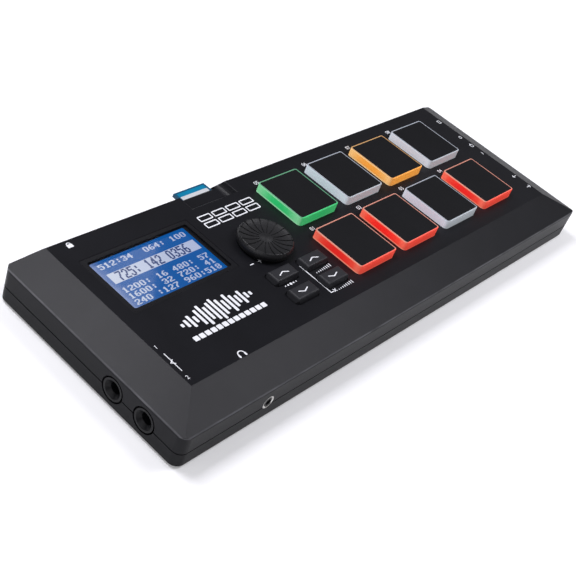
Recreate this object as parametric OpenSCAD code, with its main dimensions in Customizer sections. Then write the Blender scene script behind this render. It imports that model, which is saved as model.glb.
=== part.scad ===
// Portable sample player: a wedge-edged desktop case with eight drum pads, a display,
// a data knob, four keys, a memory card and the sockets of such a player.
// Every piece is drawn in the case's own frame: x runs from the left wall, y from the
// front wall and z from the underside of the bottom shell. in_case() then moves it so that
// the origin lies under the middle of the whole object, on the surface that it stands on.

/* [Case] */
// Length of the case, left wall to right wall
case_l = 368; // [350:1:400]
// Depth of the case, front wall to back wall
case_d = 129; // [127:0.5:150]
// Height of the flat top above the underside of the bottom shell
case_h = 26; // [25:0.5:32]
// Height at which the upright walls turn into the sloping edges
wall_h = 18.5; // [17.5:0.5:20]
// How far the left and right edges slope inwards
side_run = 19.8; // [14:0.2:22]
// How far the front edge slopes inwards
front_run = 19.2; // [14:0.2:22]
// How far the back edge slopes inwards
back_run = 4.7; // [4:0.1:6]
// Radius of the upright corners
corner_r = 5; // [3:0.5:9]
// Radius along the creases of the outer form
crease_r = 1.2; // [0.6:0.1:2]
// Wall thickness of both shells
wall = 2.4; // [2:0.1:2.6]
// Height of the parting line
split_z = 8.3; // [7.5:0.1:9]
// Width and depth of the groove along the parting line
reveal = 0.6; // [0.3:0.1:0.8]
// Height of the locating lip above the parting line
lip_h = 1.2; // [0.8:0.1:1.4]
// Thickness of the locating lip
lip_t = 1.2; // [0.8:0.1:1.6]

/* [Layout] */
// Free length left of the display, before the four free lengths are spread over the flat top
free_left = 7.1; // [4:0.1:12]
// Free length between the display and the keys
free_display = 3.9; // [3:0.1:8]
// Free length between the keys and the pads
free_keys = 4.8; // [3:0.1:8]
// Free length right of the pads
free_right = 24.2; // [10:0.1:30]
// How far the knob's axis lies to the left of the middle of the keys
knob_shift = 2.65; // [1:0.05:3.4]
// How far the card lies to the right of the middle of the keys
card_shift = 0.15; // [-1:0.05:1]

/* [Finger scoop] */
// Width of the scoop's floor between its shoulders
scoop_w = 25.2; // [24.8:0.2:28]
// Depth of the scoop below the flat top
scoop_depth = 4.4; // [3:0.1:4.6]
// Reach of the scoop forward of the back edge of the flat top
scoop_reach = 11; // [9:0.5:14]
// Width of each rounded shoulder
shoulder_w = 5.2; // [3:0.2:7]
// Radius of the scoop's back lip above the card
scoop_lip_r = 2.2; // [1.6:0.1:2.4]

/* [Pads] */
// Pad size left to right
pad_w = 33.6; // [28:0.2:35]
// Pad size front to back
pad_d = 35.4; // [30:0.2:37]
// Spacing of the pad columns
pad_pitch_x = 43.3; // [42:0.1:45]
// Spacing of the pad rows
pad_pitch_y = 45; // [43.6:0.1:46]
// Distance from the front wall to the middle of the front row
pad_from_front = 47.7; // [46:0.1:50]
// Height of the pads above the flat top
pad_proud = 5.2; // [3:0.1:7]
// Corner radius of a pad seen from above
pad_r = 2.2; // [1.5:0.1:4]
// Width of the lit rim round the black face
pad_rim = 0.7; // [0.5:0.05:1.4]
// Thickness of the black face
face_t = 1.2; // [0.8:0.1:2]
// Width of the flange that holds a pad under the top shell
pad_flange = 1.9; // [1.2:0.1:2.2]
// Thickness of that flange
flange_t = 2; // [1.5:0.1:2.4]
// Gap round a pad or key in its opening
key_gap = 0.5; // [0.4:0.05:0.8]
// How far a pad goes down
pad_travel = 1; // [0.5:0.1:1.2]

/* [Keys] */
// Key size at its foot, left to right
key_w = 18.2; // [15:0.2:19]
// Key size at its foot, front to back
key_d = 9.8; // [8:0.2:10.4]
// How much narrower each side of the key is at its top
key_taper = 1; // [0.4:0.1:1.4]
// Radius of a key's corners seen from above
key_r = 2.4; // [1:0.1:3]
// Radius along a key's top edges
key_edge_r = 1.3; // [0.4:0.1:1.4]
// Height of a key above the flat top
key_proud = 3.2; // [2:0.1:4]
// Spacing of the two key columns
key_pitch_x = 24.7; // [23.5:0.1:25]
// Distance from the front wall to the middle of the front keys
key_y = 35.3; // [33:0.1:36]
// Spacing of the two key rows
key_pitch_y = 15.1; // [14.6:0.1:15.6]
// How far a key goes down
key_travel = 0.6; // [0.3:0.05:0.8]

/* [Data knob] */
// Distance from the front wall to the knob's axis
knob_y = 73.3; // [73:0.1:74.5]
// Largest radius of the knob
knob_r = 16; // [12:0.1:16.4]
// How much its side bulges out between the foot and the rim
knob_bulge = 1.1; // [0.5:0.1:2]
// Height of the knob's top above the flat top
knob_proud = 6.2; // [5:0.1:9]
// Gap between the knob and the flat top
knob_gap = 0.8; // [0.4:0.1:1.2]
// Depth of the dish in the knob's top
dish_depth = 1.3; // [0.4:0.1:1.6]
// Radius of the small dome in the middle of the dish
dome_r = 1.8; // [1:0.1:4]
// Number of grooves in the dish
groove_count = 18; // [12:2:36]
// Width of a groove at the rim
groove_w = 1; // [0.4:0.05:1.4]
// Radius of the encoder's shaft
shaft_r = 3; // [2.5:0.1:3]

/* [Display] */
// Distance from the front wall to the lens
lens_y = 67.4; // [66:0.1:68]
// Thickness of the lens
lens_t = 1.2; // [0.8:0.1:1.4]
// Size of the lit window left to right
window_w = 65.6; // [60:0.2:67]
// Size of the lit window front to back
window_d = 36.4; // [32:0.2:37]
// Border of the lens left and right of the window
lens_side = 3.7; // [2:0.1:4.5]
// Border of the lens in front of and behind the window
lens_end = 2.5; // [1.5:0.1:3]

/* [Boards] */
// Distance from the inside of the flat top down to the main board
board_drop = 6.4; // [6.2:0.1:6.6]
// Thickness of both boards
board_t = 1.6; // [1.2:0.1:1.6]
// Gap between the main board and the inside of the walls
board_gap = 1.6; // [1.5:0.1:3]

/* [Sockets] */
// Height of the output sockets' axes
output_z = 9.3; // [9.2:0.1:9.4]
// Distance from the front wall to the first output socket
output_y = 24.3; // [22:0.1:26]
// Spacing of the two output sockets
output_pitch = 21.6; // [20:0.1:24]
// Bore radius of an output socket
output_r = 3.25; // [3.2:0.01:3.4]
// Radius of an output socket's barrel
output_nose_r = 6.2; // [5.5:0.1:6.2]
// Radius of an output socket's wide mouth
output_mouth_r = 5.1; // [3.8:0.1:5.2]
// Depth of that mouth
output_mouth = 2.2; // [0.6:0.1:3]
// Distance from the left wall to the headphone socket
phones_x = 59.2; // [56:0.1:62]
// Height of the headphone socket's axis
phones_z = 9.9; // [9.5:0.1:10.5]
// Bore radius of the headphone and music sockets
mini_r = 1.8; // [1.78:0.01:1.9]
// Radius of the headphone socket's bright ring
ring_r = 3.8; // [3.4:0.1:4.2]
// Distance from the front wall to the first music socket
music_y = 29.4; // [28:0.1:31]
// Spacing of the two music sockets
music_pitch = 11.8; // [10.5:0.1:13]
// Distance from the front wall to the power switch
power_y = 78; // [72:0.1:84]
// How far the power switch slides
power_travel = 4; // [2.5:0.1:5]
// Distance from the back wall to the middle of the data socket
data_from_back = 22; // [20:0.1:26]

/* [Memory card] */
// Width of the card
card_w = 24; // [23:0.1:24.5]
// Length of the card
card_len = 32; // [28:0.5:34]
// Thickness of the card
card_t = 2.1; // [1.6:0.1:2.2]
// How far the card stands out of the back wall
card_out = 4.6; // [2:0.1:8]
// Gap round the card
card_gap = 0.3; // [0.2:0.05:0.4]

/* [Feet and fasteners] */
// Radius of a rubber foot
foot_r = 6; // [4:0.5:8]
// Height of a foot below the bottom shell
foot_h = 1.5; // [1:0.1:4]
// Distance of the feet from the side walls
foot_in_x = 19; // [14:0.5:22]
// Distance of the feet from the front and back walls
foot_in_y = 16; // [14:0.5:20]
// Distance of the screws from the front and back walls
boss_in_y = 11.5; // [10.5:0.1:12.5]
// Distance of the outer screws from the side walls
boss_in_x = 37; // [34:0.5:40]
// Shank radius of a case screw
screw_r = 1.5; // [1.2:0.1:1.7]
// Head radius of a case screw
screw_head_r = 2.8; // [2.4:0.1:2.9]
// Wall round a screw in its post
boss_wall = 1.9; // [1.5:0.1:2.2]
// Distance from the left wall to the lock slot
lock_x = 32; // [26:0.5:34]
// Height of the lock slot's middle
lock_z = 12.6; // [12.4:0.1:12.8]

/* [Hidden] */
$fn = 48;

// Overshoot of a cut past the face that it opens
cut = 1;
// Running gap between pieces that slide or turn in each other
run_gap = 0.2;
// Gap between pieces that are fixed side by side
fix_gap = 0.1;

rise = case_h - wall_h;
roof_z = case_h - wall;
board_top = roof_z - board_drop;
board_z = board_top - board_t;
// Smallest radius of an inner corner
least_r = 0.3;
function inner_r(t) = max(corner_r - t, least_r);
// Nearest place inside a wall that clears the locating lip
lip_back = wall + fix_gap + lip_t + fix_gap;

// Scoop: turn of its hollow shoulders, rounding of their upper edge, and steps of its curves
cove_turn = 65;
cove_steps = 6;
scoop_edge_r = 0.7;
ramp_steps = 8;

// Pads: columns from left to right, rows from front to back
pad_cols = 4;
pad_rows = 2;
pad_top = case_h + pad_proud;
seat_gap = 0.3;
flange_top = roof_z - seat_gap;
flange_z = flange_top - flange_t;
sensor_t = 0.5;
sensor_w = 22;
sensor_gap = 0.3;
plunger_z = board_top + sensor_t + pad_travel + sensor_gap;
plunger_w = 20;
edge_r = 0.7;
rim_edge_r = 0.35;
face_edge_r = 0.2;
light_size = [3.2, 2.4, 1];
light_in = 2.6;
pad_colors = ["#f04030", "#f04030", "#ccd0da", "#f04030", "#46be6e", "#ccd0da", "#f5aa3c", "#ccd0da"];

// Keys: the stem reaches down to a plunger in the switch body
key_flange = 1.4;
key_flange_t = 1.2;
key_flange_z = flange_top - key_flange_t;
switch_w = 6.2;
// Room between a switch body and the key's flange
switch_room = 1.5;
switch_h = key_flange_z - board_top - switch_room;
switch_top = board_top + switch_h;
// Floor of a switch body under its plunger
switch_floor = 1;
plunger_r = 1.7;
plunger_proud = 1;
plunger_len = plunger_proud + switch_h - switch_floor - key_travel - run_gap;
key_stem_r = 2;

// Knob and encoder
knob_z = case_h + knob_gap;
knob_top = case_h + knob_proud;
knob_skin = 1.6;
hub_wall = 1.8;
hub_r = shaft_r + hub_wall;
bushing_wall = 1.2;
bushing_r = shaft_r + run_gap + bushing_wall;
bushing_proud = 0.4;
bushing_top = case_h + bushing_proud;
bushing_hole_r = bushing_r + key_gap;
// Solid left between the shaft's end and the lowest point of the dish
knob_web = 1.6;
shaft_top = knob_top - dish_depth - knob_web;
shaft_flat = 0.8;
encoder_w = 12.4;
encoder_h = roof_z - board_top - seat_gap;
dish_rim = 0.7;
rim_r = 0.5;
dome_drop = 0.4;
groove_in = 4;
groove_in_w = 0.4;
groove_depth = 0.5;
groove_steps = 6;

// Display stack under the lens
lens_gap = 0.15;
lens_drop = 0.15;
lens_r = 0.85;
lens_w = window_w + 2 * lens_side;
lens_d = window_d + 2 * lens_end;
ledge_z = case_h - lens_drop - lens_t;
glass_in = 3.2;
glass_t = 1.8;
glass_top = roof_z - fix_gap;
frame_wall = 1.6;
// How far the display's carrier reaches past the lens
frame_over = glass_in + fix_gap + frame_wall - lens_side;

// Places from left to right: what the display, keys and pads leave free is spread over the gaps
display_span = lens_w + 2 * frame_over;
keys_span = key_pitch_x + key_w + 2 * key_flange;
pads_span = (pad_cols - 1) * pad_pitch_x + pad_w + 2 * pad_flange;
free_sum = free_left + free_display + free_keys + free_right;
spread = (case_l - 2 * side_run - display_span - keys_span - pads_span) / free_sum;
display_start = side_run + free_left * spread;
keys_start = display_start + display_span + free_display * spread;
pads_start = keys_start + keys_span + free_keys * spread;
lens_x = display_start + frame_over;
window_x = lens_x + lens_side;
window_y = lens_y + lens_end;
key_x = keys_start + key_flange + key_w / 2;
keys_mid = keys_start + keys_span / 2;
knob_x = keys_mid - knob_shift;
card_x = keys_mid + card_shift;
pad_x0 = pads_start + pad_flange + pad_w / 2;

// Main board and its chips
slope_gap = 0.25;
board_r = 2;
processor = 16;
converter_w = 9;
converter_d = 7;
memory_w = 12;
memory_d = 18;
chip_w = [processor, converter_w, memory_w];
chip_d = [processor, converter_d, memory_d];
chip_t = 1.4;

// Card and its socket on the main board
socket_floor = 0.7;
socket_lid = 0.5;
socket_side = 1.8;
socket_len = 27;
card_z = board_top + socket_floor;
card_top = card_z + card_t;
card_y1 = case_d + card_out;
card_y0 = card_y1 - card_len;
socket_set_back = 1.5;
socket_y1 = case_d - back_run - socket_set_back;
socket_back = 1.2;
socket_y0 = card_y0 - run_gap - socket_back;
chamfer = 4;

// Output sockets
output_len = 24;
output_w = 16;
output_top = board_z - run_gap;
output_low = wall + run_gap;
output_gap = 0.9;
nose_gap = 0.2;
output_depth = 21;
ring_mouth = 0.6;

// Headphone socket on its own small board
phones_body = [12, 14, 6];
phones_nose_r = 2.6;
phones_y = lip_back;
phones_low = phones_z - phones_body[2] / 2;
mini_depth = 12.5;
daughter = [22, 20];
daughter_top = phones_low;
daughter_z = daughter_top - board_t;
daughter_y = phones_y;
daughter_boss_r = 2.4;
daughter_screw_r = 1;
daughter_screw_head = 1.8;
daughter_boss_in = 2.6;
daughter_head_t = 1.2;
daughter_screw_in = 0.4;
daughter_spots = [for (s = [-1, 1])
    [phones_x + s * (daughter[0] / 2 - daughter_boss_in), daughter_y + daughter[1] - daughter_boss_in]];
link_size = [10.2, 2.5];

// Music sockets, data socket and power switch hang under the main board
music_body = [14, 9.6, 6.4];
music_nose_r = 2.8;
music_z = board_z - fix_gap - music_body[2] / 2;
data_body = [16, 12, 10.4];
data_y = case_d - data_from_back;
data_z = board_z - fix_gap - data_body[2] / 2;
data_mouth = [8.6, 7.9];
data_tongue = [5.6, 3.1];
data_depth = 9;
data_wall_gap = 0.4;
power_body = [6, 14, 5.6];
power_z = board_z - fix_gap - power_body[2] / 2;
power_slot_h = 3.6;
power_tab = [3.6, 2.8];
power_stem = 2;
power_inset = 0.6;

// Lock plate
lock_slot = [7, 3];
lock_plate_size = [18, 5.2, 1.2];

// Posts and screws
post_r = screw_r + boss_wall;
screw_gap = 0.2;
head_gap = 0.3;
head_t = 2;
head_z = 4;
screw_bite = 3;
pilot_extra = 0.4;
boss_gap = 7;
boss_x_front = [boss_in_x, pad_x0 - pad_w / 2 - boss_gap, pad_x0 + (pad_cols - 1) / 2 * pad_pitch_x,
                case_l - boss_in_x];
boss_x_back = [lens_x + lens_w / 2, boss_x_front[1], boss_x_front[2], boss_x_front[3]];
boss_spots = concat([for (x = boss_x_front) [x, boss_in_y]],
                    [for (x = boss_x_back) [x, case_d - boss_in_y]]);
foot_sink = 0.6;
foot_spots = [for (x = [foot_in_x, case_l - foot_in_x]) for (y = [foot_in_y, case_d - foot_in_y]) [x, y]];

function pad_spot(i) = [pad_x0 + (i % pad_cols) * pad_pitch_x,
                        pad_from_front + floor(i / pad_cols) * pad_pitch_y];
function key_spot(col, row) = [key_x + col * key_pitch_x, key_y + row * key_pitch_y];

// Where a face set back by t from a sloping edge of the given run meets the roof and the wall
function slope(run) = atan(rise / run);
function slope_top(run, t) = (rise - t + t / cos(slope(run))) / tan(slope(run));
function slope_foot(run, t) = wall_h + t * tan(slope(run)) - t / cos(slope(run));

// Arc that rounds the corner at b between a and c
function unit(v) = v / norm(v);
function round_corner(a, b, c, r, steps = 4) =
    let (u = unit(a - b), v = unit(c - b))
    let (half = acos(u * v) / 2)
    let (m = b + unit(u + v) * r / sin(half))
    let (s = b + u * r / tan(half) - m, e = b + v * r / tan(half) - m)
    let (turn = atan2(s[0] * e[1] - s[1] * e[0], s * e))
    [for (i = [0:steps]) let (k = turn * i / steps)
        m + [s[0] * cos(k) - s[1] * sin(k), s[0] * sin(k) + s[1] * cos(k)]];

module in_case() {
    translate([-case_l / 2, -(case_d + card_out) / 2, foot_h]) children();
}

// Rectangle with true round corners, its first corner at the origin
module round_rect(w, d, r) {
    translate([r, 0]) square([w - 2 * r, d]);
    translate([0, r]) square([w, d - 2 * r]);
    for (x = [r, w - r]) for (y = [r, d - r]) translate([x, y]) circle(r);
}

// Upright block with round corners and a flat top, its first corner at the origin
module round_block(w, d, h, r) {
    linear_extrude(h) round_rect(w, d, r);
}

// Prism of an x-z outline, from y0 to y1
module along_y(points, y0, y1) {
    translate([0, y1, 0]) rotate([90, 0, 0]) linear_extrude(y1 - y0) polygon(points);
}

// Prism of a y-z outline, from x0 to x1
module along_x(points, x0, x1) {
    translate([x0, 0, 0]) rotate([90, 0, 90]) linear_extrude(x1 - x0) polygon(points);
}

// Outline of the case across a pair of sloping edges, set back by t, with its creases rounded by r
function case_outline(span, run_a, run_b, t, r) =
    let (top = case_h - t)
    let (a = [t, slope_foot(run_a, t)], b = [slope_top(run_a, t), top])
    let (c = [span - slope_top(run_b, t), top], d = [span - t, slope_foot(run_b, t)])
    let (foot_a = [t, t], foot_b = [span - t, t])
    r == 0 ? [foot_a, foot_b, d, c, b, a]
           : concat([foot_a, foot_b], round_corner(foot_b, d, c, r), round_corner(d, c, b, r),
                    round_corner(c, b, a, r), round_corner(b, a, foot_a, r));

// The case as one solid, set back by t on every side
module case_form(t, r) {
    intersection() {
        translate([t, t, t]) round_block(case_l - 2 * t, case_d - 2 * t, case_h - 2 * t, inner_r(t));
        along_y(case_outline(case_l, side_run, side_run, t, r), 0, case_d);
        along_x(case_outline(case_d, front_run, back_run, t, r), 0, case_l);
    }
}

// Tapered key form on its middle, from z = 0, with its top edge rounded
function key_outline(span, taper, h, r) =
    let (a = [-span / 2, 0], b = [-span / 2 + taper, h], c = [span / 2 - taper, h], d = [span / 2, 0])
    concat([a, d], round_corner(d, c, b, r), round_corner(c, b, a, r));

module key_form(w, d, h, taper, plan_r, r) {
    intersection() {
        translate([-w / 2, -d / 2, 0]) round_block(w, d, h, plan_r);
        along_y(key_outline(w, taper, h, r), -d, d);
        along_x(key_outline(d, taper, h, r), -w, w);
    }
}

// Middle-centred block with round corners
module mid_block(w, d, h, r) {
    translate([-w / 2, -d / 2, 0]) round_block(w, d, h, r);
}

// Space of the finger scoop: flat floor, hollow shoulders that end in a rounded edge, a smooth ramp
// at its front and a rounded lip at its back
module scoop_space() {
    floor_z = case_h - scoop_depth;
    half = scoop_w / 2;
    wide = half + shoulder_w;
    over = case_h + cut;
    turns = [for (k = [0:15:90]) k];
    cove = [for (k = [0:cove_steps]) let (a = cove_turn * k / cove_steps)
        [half + shoulder_w * sin(a) / sin(cove_turn),
         floor_z + scoop_depth * (1 - cos(a)) / (1 - cos(cove_turn))]];
    right = concat([for (k = [0:cove_steps - 1]) cove[k]],
                   round_corner(cove[cove_steps - 1], cove[cove_steps], [2 * wide, case_h], scoop_edge_r));
    left = [for (i = [len(right) - 1:-1:0]) [-right[i][0], right[i][1]]];
    ramp_y = case_d - back_run - scoop_reach;
    ramp = [for (k = [0:ramp_steps]) let (u = k / ramp_steps)
        [ramp_y + scoop_depth * u, case_h - scoop_depth * u * u * (3 - 2 * u)]];
    lip_y = case_d - wall - scoop_lip_r;
    lip = [for (k = turns) [lip_y + scoop_lip_r * sin(k), floor_z - scoop_lip_r * (1 - cos(k))]];
    intersection() {
        translate([card_x, 0, 0])
            along_y(concat([[-half, floor_z - scoop_lip_r], [half, floor_z - scoop_lip_r]], right,
                           [[wide + scoop_edge_r, over], [-wide - scoop_edge_r, over]], left),
                    ramp_y - cut, case_d + cut);
        along_x(concat([[ramp_y, over]], ramp, lip,
                       [[case_d + cut, floor_z - scoop_lip_r], [case_d + cut, over]]),
                card_x - wide - 2 * cut, card_x + wide + 2 * cut);
    }
}

// Solid tub that closes the top shell under the scoop
module scoop_tub() {
    half = scoop_w / 2 + shoulder_w + wall;
    y0 = case_d - back_run - scoop_reach - wall;
    tub_z = card_top + card_gap;
    intersection() {
        translate([card_x - half, y0, tub_z]) cube([2 * half, case_d - y0, case_h - tub_z]);
        case_form(0, 0);
    }
}

// Slot of the card through the back wall
module card_slot() {
    w = card_w + 2 * card_gap;
    y0 = socket_y1;
    translate([card_x - w / 2, y0, card_z - card_gap])
        cube([w, case_d - y0 + cut, card_t + 2 * card_gap]);
}

// Holes in the walls and the lip for every socket
module wall_holes() {
    deep = lip_back + 2 * cut;
    for (i = [0, 1])
        translate([-cut, output_y + i * output_pitch, output_z]) rotate([0, 90, 0])
            cylinder(r = output_nose_r + output_gap, h = deep);
    translate([phones_x, deep - cut, phones_z]) rotate([90, 0, 0])
        cylinder(r = ring_r + nose_gap, h = deep);
    for (i = [0, 1])
        translate([case_l + cut, music_y + i * music_pitch, music_z]) rotate([0, -90, 0])
            cylinder(r = music_nose_r + nose_gap, h = deep);
    data_hole = [data_body[1] + 2 * data_wall_gap, data_body[2] + 2 * data_wall_gap];
    translate([case_l + cut - deep, data_y - data_hole[0] / 2, data_z - data_hole[1] / 2])
        cube([deep, data_hole[0], data_hole[1]]);
    power_slot_d = power_tab[0] + power_travel + 2 * key_gap;
    translate([case_l + cut - deep, power_y - power_slot_d / 2, power_z - power_slot_h / 2])
        cube([deep, power_slot_d, power_slot_h]);
}

// Rounded slot of the lock, through a sheet that faces the back
module lock_hole(y0, y1) {
    half = (lock_slot[0] - lock_slot[1]) / 2;
    translate([lock_x - half, y0, lock_z - lock_slot[1] / 2]) cube([2 * half, y1 - y0, lock_slot[1]]);
    for (s = [-1, 1])
        translate([lock_x + s * half, y1, lock_z]) rotate([90, 0, 0])
            cylinder(d = lock_slot[1], h = y1 - y0);
}

module top_shell() {
    color("#2c2d31") in_case() difference() {
        union() {
            difference() {
                case_form(0, crease_r);
                case_form(wall, 0);
            }
            scoop_tub();
            intersection() {
                case_form(0, 0);
                for (p = boss_spots) translate([p[0], p[1], board_top])
                    cylinder(r = post_r, h = case_h - board_top - crease_r);
            }
        }
        translate([-cut, -cut, -cut]) cube([case_l + 2 * cut, case_d + 2 * cut, split_z + cut]);
        scoop_space();
        card_slot();
        wall_holes();
        lock_hole(case_d - wall - cut, case_d + cut);
        for (i = [0:pad_cols * pad_rows - 1])
            translate([pad_spot(i)[0], pad_spot(i)[1], flange_top])
                mid_block(pad_w + 2 * key_gap, pad_d + 2 * key_gap, case_h, pad_r + key_gap);
        for (col = [0, 1]) for (row = [0, 1])
            translate([key_spot(col, row)[0], key_spot(col, row)[1], flange_top])
                mid_block(key_w + 2 * key_gap, key_d + 2 * key_gap, case_h, key_r + key_gap);
        translate([knob_x, knob_y, flange_top]) cylinder(r = bushing_hole_r, h = case_h);
        translate([lens_x - lens_gap, lens_y - lens_gap, ledge_z])
            round_block(lens_w + 2 * lens_gap, lens_d + 2 * lens_gap, case_h, lens_r + lens_gap);
        translate([window_x, window_y, flange_top]) cube([window_w, window_d, case_h]);
        for (p = boss_spots)
            translate([p[0], p[1], board_top - cut])
                cylinder(r = screw_r + fix_gap, h = screw_bite + pilot_extra + cut);
    }
}

// Locating lip that stands inside the top shell's wall
module shell_lip() {
    t0 = wall + fix_gap;
    t1 = t0 + lip_t;
    translate([0, 0, split_z - cut]) difference() {
        translate([t0, t0, 0])
            round_block(case_l - 2 * t0, case_d - 2 * t0, lip_h + cut, inner_r(t0));
        translate([t1, t1, -cut])
            round_block(case_l - 2 * t1, case_d - 2 * t1, lip_h + 3 * cut, inner_r(t1));
    }
}

module bottom_shell() {
    color("#26272a") in_case() difference() {
        union() {
            difference() {
                round_block(case_l, case_d, split_z, corner_r);
                translate([wall, wall, wall])
                    round_block(case_l - 2 * wall, case_d - 2 * wall, case_h, inner_r(wall));
                translate([0, 0, split_z - reveal]) difference() {
                    translate([-cut, -cut, 0]) cube([case_l + 2 * cut, case_d + 2 * cut, case_h]);
                    translate([reveal, reveal, -cut])
                        round_block(case_l - 2 * reveal, case_d - 2 * reveal, case_h + 2 * cut,
                                    inner_r(reveal));
                }
            }
            intersection() {
                shell_lip();
                translate([0, 0, wall]) cube([case_l, case_d, case_h]);
            }
            difference() {
                t0 = wall - fix_gap;
                t1 = wall + fix_gap + lip_t;
                translate([t0, t0, wall])
                    round_block(case_l - 2 * t0, case_d - 2 * t0, split_z - wall, inner_r(t0));
                translate([t1, t1, 0]) round_block(case_l - 2 * t1, case_d - 2 * t1, case_h, inner_r(t1));
            }
            for (p = boss_spots) translate([p[0], p[1], wall - cut]) {
                cylinder(r = screw_head_r + head_gap + boss_wall / 2, h = head_z + head_t);
                cylinder(r = post_r, h = board_z - wall + cut);
            }
            for (p = daughter_spots) translate([p[0], p[1], wall - cut])
                cylinder(r = daughter_boss_r, h = daughter_z - wall + cut);
        }
        wall_holes();
        for (p = boss_spots) translate([p[0], p[1], -cut]) {
            cylinder(r = screw_r + screw_gap, h = case_h);
            cylinder(r = screw_head_r + head_gap, h = head_z + cut);
        }
        for (p = daughter_spots) translate([p[0], p[1], wall - cut / 2])
            cylinder(r = daughter_screw_r + fix_gap, h = case_h);
        for (p = foot_spots) translate([p[0], p[1], -cut])
            cylinder(r = foot_r + fix_gap, h = foot_sink + cut);
    }
}

module display_lens() {
    color("#22345c") in_case() translate([lens_x, lens_y, ledge_z])
        round_block(lens_w, lens_d, lens_t, lens_r);
}

module display_glass() {
    color("#2f5fd0") in_case() translate([window_x - glass_in, window_y - glass_in, glass_top - glass_t])
        cube([window_w + 2 * glass_in, window_d + 2 * glass_in, glass_t]);
}

// Carrier of the display: a tray on the main board with a rim round the glass
module display_frame() {
    w = window_w + 2 * glass_in;
    d = window_d + 2 * glass_in;
    side = fix_gap + frame_wall;
    low = glass_top - glass_t;
    color("#d8dade") in_case() translate([window_x - glass_in, window_y - glass_in, 0]) difference() {
        translate([-side, -side, board_top])
            cube([w + 2 * side, d + 2 * side, low + glass_t / 2 - board_top]);
        translate([-fix_gap, -fix_gap, low]) cube([w + 2 * fix_gap, d + 2 * fix_gap, glass_t]);
    }
}

// How far the main board stays off the outside of a wall, under a sloping edge of the given run
function board_edge(run) =
    wall + max(board_gap, (board_top + slope_gap - slope_foot(run, wall)) / tan(slope(run)));

module main_board() {
    side = board_edge(side_run);
    front = board_edge(front_run);
    back = board_edge(back_run);
    color("#1f5a3a") in_case() difference() {
        translate([side, front, board_z])
            round_block(case_l - 2 * side, case_d - front - back, board_t, board_r);
        for (p = boss_spots) translate([p[0], p[1], board_z - cut])
            cylinder(r = screw_r + screw_gap, h = board_t + 2 * cut);
    }
}

// Processor, converter and memory on the underside of the main board
module chips() {
    color("#17181a") in_case() for (i = [0:len(chip_w) - 1])
        translate([pad_x0 + i * pad_pitch_x - chip_w[i] / 2, case_d / 2 - chip_d[i] / 2, board_z - chip_t])
            cube([chip_w[i], chip_d[i], chip_t]);
}

module headphone_board() {
    color("#1f5a3a") in_case() difference() {
        translate([phones_x - daughter[0] / 2, daughter_y, daughter_z])
            cube([daughter[0], daughter[1], board_t]);
        for (p = daughter_spots) translate([p[0], p[1], daughter_z - cut])
            cylinder(r = daughter_screw_r + screw_gap, h = board_t + 2 * cut);
    }
}

// Pin header that joins the two boards
module board_link() {
    link_y = daughter_y + phones_body[1] + run_gap;
    color("#2a2a2c") in_case() translate([phones_x - link_size[0] / 2, link_y, daughter_top])
        cube([link_size[0], link_size[1], board_z - daughter_top]);
}

// Translucent pad: a block with a rim, a flange under the top shell and a plunger over its sensor
module pad(i) {
    face_w = pad_w - 2 * pad_rim;
    face_d = pad_d - 2 * pad_rim;
    color(pad_colors[i]) in_case() translate([pad_spot(i)[0], pad_spot(i)[1], 0]) difference() {
        union() {
            translate([0, 0, flange_z]) key_form(pad_w, pad_d, pad_top - flange_z, 0, pad_r, rim_edge_r);
            translate([0, 0, flange_z])
                mid_block(pad_w + 2 * pad_flange, pad_d + 2 * pad_flange, flange_t, pad_r + pad_flange);
            translate([0, 0, plunger_z]) mid_block(plunger_w, plunger_w, flange_z - plunger_z + cut, pad_r);
        }
        translate([0, 0, pad_top - face_t]) mid_block(face_w, face_d, face_t + cut, pad_r - pad_rim);
    }
}

// Black face bonded into the top of a pad
module pad_face(i) {
    face_w = pad_w - 2 * pad_rim - 2 * fix_gap;
    face_d = pad_d - 2 * pad_rim - 2 * fix_gap;
    color("#1b1c1f") in_case() translate([pad_spot(i)[0], pad_spot(i)[1], pad_top - face_t])
        key_form(face_w, face_d, face_t, 0, pad_r - pad_rim - fix_gap, face_edge_r);
}

module pad_1() { pad(0); }
module pad_2() { pad(1); }
module pad_3() { pad(2); }
module pad_4() { pad(3); }
module pad_5() { pad(4); }
module pad_6() { pad(5); }
module pad_7() { pad(6); }
module pad_8() { pad(7); }
module pad_face_1() { pad_face(0); }
module pad_face_2() { pad_face(1); }
module pad_face_3() { pad_face(2); }
module pad_face_4() { pad_face(3); }
module pad_face_5() { pad_face(4); }
module pad_face_6() { pad_face(5); }
module pad_face_7() { pad_face(6); }
module pad_face_8() { pad_face(7); }

// Force sensor on the board under each pad
module pad_sensors() {
    color("#c58a2a") in_case() for (i = [0:pad_cols * pad_rows - 1])
        translate([pad_spot(i)[0], pad_spot(i)[1], board_top])
            mid_block(sensor_w, sensor_w, sensor_t, pad_r);
}

// Two lamps under the rim of each pad
module pad_lights() {
    color("#f2f2e6") in_case() for (i = [0:pad_cols * pad_rows - 1]) for (s = [-1, 1])
        translate([pad_spot(i)[0] + s * (pad_w / 2 - light_in), pad_spot(i)[1], board_top])
            translate([-light_size[0] / 2, -light_size[1] / 2, 0]) cube(light_size);
}

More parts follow.
